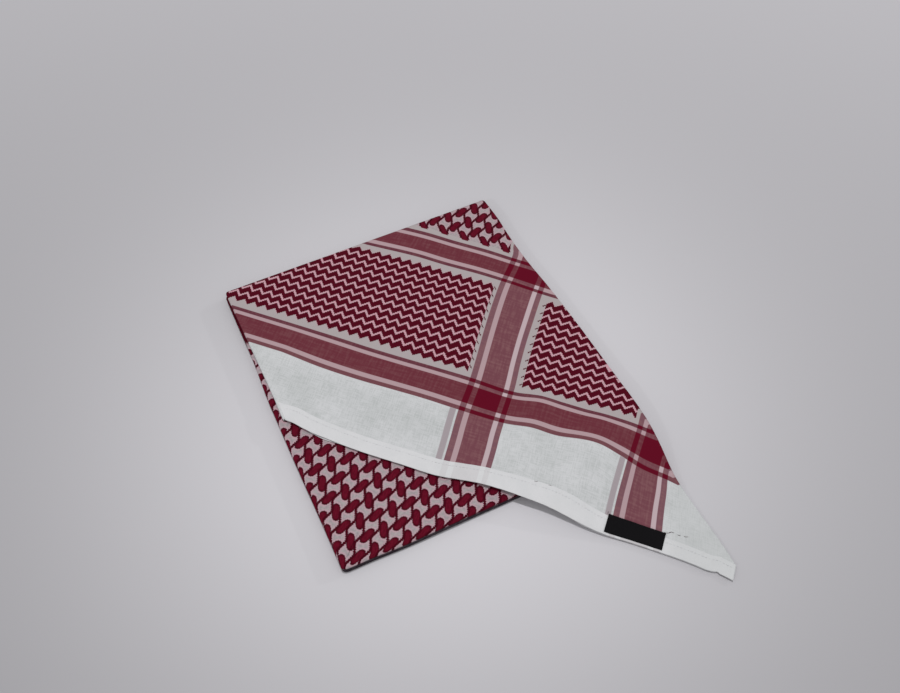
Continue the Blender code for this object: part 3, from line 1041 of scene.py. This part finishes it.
def make_stitches(white, black):
    """The hem's seam, and the seam that holds the label."""
    runs = []
    end = hem_left_end() + SEAM_PAST_FOLD
    for index in range(int((end - SEAM_START) / STITCH_PITCH)):
        u = SEAM_START + index * STITCH_PITCH
        to_u = u + STITCH_LENGTH
        inward, to_inward = hem_depth(u) - SEAM_INSET, hem_depth(to_u) - SEAM_INSET
        runs.append(stitch(hem_face, u, to_u, inward, to_inward))
    add_threads("hem_seam", runs, STITCH_RADIUS, white)

    runs = []
    low, high = LABEL_INSET + LABEL_SEAM, LABEL_INSET + LABEL_DEPTH - LABEL_SEAM
    first, last = LABEL_START + LABEL_SEAM, LABEL_START + LABEL_LENGTH - LABEL_SEAM
    for index in range(int((last - first) / LABEL_PITCH)):
        u = first + index * LABEL_PITCH
        to_u = u + LABEL_STITCH
        runs += [stitch(label_face, u, to_u, side, side) for side in (low, high)]
    for index in range(int((high - low) / LABEL_PITCH)):
        inward = low + index * LABEL_PITCH
        to_inward = inward + LABEL_STITCH
        runs += [stitch(label_face, side, side, inward, to_inward) for side in (first, last)]
    add_threads("label_seam", runs, LABEL_THREAD, black)


def make_loose_ends(finish):
    runs = []
    share = np.linspace(0.0, 1.0, 7)
    for u, v, length, way, curl in LOOSE_ENDS:
        way = math.radians(way)
        ahead, aside = length * share, curl * np.sin(1.3 * np.pi * share)
        u = u + ahead * math.cos(way) - aside * math.sin(way)
        v = v + ahead * math.sin(way) + aside * math.cos(way)
        x, y = point_at(u * MM, v * MM)
        lift = (0.18 + 0.35 * np.sin(np.pi * share)) * MM
        runs.append(joined(x, y, upper_face(x, y) + lift))
    add_threads("loose_ends", runs, LOOSE_RADIUS, finish)


def pack_outline(inset):
    """The pack's outline, four sides and round corners, stepped in by four distances."""
    left, right, front, back = inset
    low_x, high_x = -HALF_WIDTH + left, PACK_RIGHT - right
    low_y, high_y = PACK_FRONT + front, HALF_LENGTH - back
    radius = max(PACK_CORNER - max(0.0, min(inset) - 6.0 * MM), 1.0 * MM)
    arcs, ways = [], []
    for x, y, first, side_x, side_y in (
            (high_x, low_y, -90.0, -1, 1), (high_x, high_y, 0.0, -1, -1),
            (low_x, high_y, 90.0, 1, -1), (low_x, low_y, 180.0, 1, 1)):
        turns = np.radians(first + np.linspace(0.0, 90.0, 7))
        ways.append(joined(np.cos(turns), np.sin(turns)))
        arcs.append((x + side_x * radius, y + side_y * radius) + radius * ways[-1])
    points, outward = [], []
    for index in range(4):
        following = (index + 1) % 4
        length = HALF_WIDTH + PACK_RIGHT if index % 2 else HALF_LENGTH - PACK_FRONT
        count = round(length / PACK_GRID)
        begin, end = arcs[index][-1], arcs[following][0]
        share = np.arange(1, count)[:, None] / count
        points += [arcs[index], begin + (end - begin) * share]
        outward += [ways[index], np.repeat(ways[following][:1], count - 1, axis=0)]
    return np.concatenate(points), np.concatenate(outward)


def settled(points, outward, share):
    """The outline as the layers lie: cut back at the front left, uneven along the left side."""
    x, y = points.T
    cut = CORNER_CUT * ramp(x, *CORNER_CUT_X) * ramp(-1.5 * outward[:, 1])
    swell = (LEFT_SWELL + LEFT_TUCK) * ramp(y, *SWELL_Y) - LEFT_TUCK
    return points + share * joined(-swell * ramp(-1.5 * outward[:, 0]), cut)


def make_pack(finish):
    """The folded lengths under the flap: rings up the layered edge, then in over the top."""
    table = np.array(PACK_EDGE) * MM
    rows = np.linspace(0, len(table) - 1, PACK_LEVELS)
    levels = joined(*[np.interp(rows, np.arange(len(table)), column) for column in table.T])
    rings, outs, painted_gap_shade = [], [], []
    for z, *inset in levels:
        points, outward = pack_outline(inset)
        share = np.linspace(0.0, 2.0 * np.pi, len(points), endpoint=False)
        waver = PACK_WAVER * (np.sin(9.0 * share + 900.0 * z) * 0.5 - 0.5)
        points = settled(points + outward * waver[:, None], outward, 1.0)
        along = ramp(points[:, 0], -HALF_WIDTH, 0.0)
        # painted shade on the front wall, below a height that falls from left to right
        painted_shade_top = PAINTED_SHADE_TOP_LEFT + (PAINTED_SHADE_TOP_RIGHT - PAINTED_SHADE_TOP_LEFT) * along
        painted_gap_shade.append(ramp(z, painted_shade_top, painted_shade_top - PAINTED_SHADE_SOFT) * ramp(-2.0 * outward[:, 1]))
        rings.append(joined(points[:, 0], points[:, 1], z))
        outs.append(outward)
    for inward in PACK_TOP_RINGS:
        points, outward = pack_outline(levels[-1, 1:] + inward * MM)
        points = settled(points, outward, max(0.0, 1.0 - inward / SETTLED_WITHIN))
        rings.append(joined(points[:, 0], points[:, 1], PACK_TOP))
        painted_gap_shade.append(np.zeros(len(points)))
    middle = np.array(rings)
    # the cloth's threads run on over the edge: arc length outward from the top, level by level
    edge = middle[:PACK_LEVELS]
    run = np.linalg.norm(np.diff(edge, axis=0), axis=2)[::-1].cumsum(axis=0)[::-1]
    place = middle[:, :, :2].copy()
    place[:PACK_LEVELS - 1] = edge[-1, :, :2] + np.array(outs[:-1]) * run[:, :, None]
    u, v = threads_at(place[:, :, 0], place[:, :, 1])
    along = u + PACK_SHIFT[0] + PACK_SKEW[0] * (v - PACK_SKEW_AT[1])
    inward = v + PACK_SHIFT[1] + PACK_SKEW[1] * (u - PACK_SKEW_AT[0])
    x, y = middle[:, :, 0], middle[:, :, 1]
    inward = inward + LEFT_STRIP_SHIFT * ramp(y, *STRIP_SHIFT_Y)
    strip = ramp(x, *DARK_STRIP_X) * ramp(y, *DARK_STRIP_Y)
    pack = add_piece("pack_cloth", middle, tube_faces(*middle.shape[:2]), joined(along, inward),
                     finish, ["pack"])
    for name, values in (("painted_gap_shade", np.array(painted_gap_shade)), ("crossing", strip)):
        layer = pack.data.attributes.new(name, "FLOAT", "POINT")
        layer.data.foreach_set("value", values.ravel().astype(np.float32))
    return pack


# ---- stage, lights and camera ----
FLOOR_HALF = 4.0
FLOOR_BELOW = 0.3 * MM
FLOOR_FAR = 0.375            # how light the floor is far from the cloth
FLOOR_PAINTED_POOL = 0.29            # and how much lighter a painted pool of light makes it about the cloth
PAINTED_POOL_AT = (-0.03, 0.0)
PAINTED_POOL_SIZE = (0.325, 0.315)
FLOOR_PAINTED_SLOPE = (0.09, 0.125)  # painted light: it grows lighter to the right and to the back, per metre
SLOPE_FROM, SLOPE_TO = (-0.6, -0.45), 1.0
FLOOR_TINT = (1.02, 1.0, 1.05)
ROOM_LIGHT = 0.50
LAMPS = [                    # far lamps, in degrees; the side is counted from +X
    # name, side, elevation, width, power
    ("overhead", 95.0, 83.0, 4.0, 1.34),
    ("left_lamp", 205.0, 34.0, 1.5, 0.22),
    ("right_lamp", 5.0, 21.0, 1.5, 0.30),
]
LENS = 39.90                 # for a sensor 36 mm wide
CAMERA_AT = (-0.2298, -0.4255, 0.885)
CAMERA_TURNS = (("Z", -26.69), ("X", 33.22), ("Z", 1.198))   # heading, tilt and roll, degrees


def make_stage():
    mesh = bpy.data.meshes.new("floor")
    low, high = -FLOOR_HALF, FLOOR_HALF
    corners = joined([low, high, high, low], [low, low, high, high], -FLOOR_BELOW).tolist()
    mesh.from_pydata(corners, [], [(0, 1, 2, 3)])
    floor = put_in_scene("floor", mesh)
    finish = bpy.data.materials.new("floor_finish")
    finish.use_nodes = True
    tree = finish.node_tree
    place = new_node(tree, "TexCoord", {}).outputs["Object"]
    split = new_node(tree, "SeparateXYZ", {0: place})
    # painted light in the floor's colour: a pool of light about the cloth, and a slope lighter to
    # the right and back
    far, slope = 0.0, FLOOR_FAR
    for axis in (0, 1):
        along = Wire(split.outputs[axis]).most(SLOPE_FROM[axis]).least(SLOPE_TO)
        off = (along - PAINTED_POOL_AT[axis]) / PAINTED_POOL_SIZE[axis]
        far = off * off + far
        slope = along * FLOOR_PAINTED_SLOPE[axis] + slope
    level = (far * -1.0).apply("EXPONENT") * FLOOR_PAINTED_POOL + slope
    colour = new_node(tree, "CombineXYZ", dict(enumerate(level * tint for tint in FLOOR_TINT)))
    set_inputs(tree.nodes["Principled BSDF"], {
        "Base Color": colour.outputs[0], "Roughness": 0.9, "Specular IOR Level": 0.05})
    mesh.materials.append(finish)


def make_lights():
    world = bpy.data.worlds.new("room")
    world.use_nodes = True
    background = world.node_tree.nodes["Background"]
    set_inputs(background, {"Color": (1.0, 1.0, 1.0, 1.0), "Strength": ROOM_LIGHT})
    bpy.context.scene.world = world
    for name, side, elevation, width, power in LAMPS:
        data = bpy.data.lights.new(name, "SUN")
        data.angle = math.radians(width)
        data.energy = power
        light = put_in_scene(name, data)
        side, elevation = math.radians(side), math.radians(elevation)
        flat = math.cos(elevation)
        away = Vector((flat * math.cos(side), flat * math.sin(side), math.sin(elevation)))
        light.location = 2.0 * away
        light.rotation_euler = (-away).to_track_quat("-Z", "Y").to_euler()


def make_camera():
    data = bpy.data.cameras.new("camera")
    data.sensor_width = 36.0
    data.lens = LENS
    data.clip_start = 0.01
    camera = put_in_scene("camera", data)
    placed = Matrix.Translation(CAMERA_AT)
    for axis, degrees in CAMERA_TURNS:
        placed = placed @ Matrix.Rotation(math.radians(degrees), 4, axis)
    camera.matrix_world = placed
    bpy.context.scene.camera = camera


def main():
    bpy.context.scene.view_settings.view_transform = "Standard"
    make_camera()
    make_stage()
    make_lights()
    patterned = keffiyeh_finish("patterned_cotton_finish")
    white = hem_finish("white_cotton_finish")
    black = label_finish("black_label_finish")
    pack = make_pack(patterned)
    flap = make_flap(patterned)
    high, low = make_hems(white)
    label = make_label(black)
    make_stitches(white, black)
    make_loose_ends(yarn_finish("loose_yarn_finish"))


main()
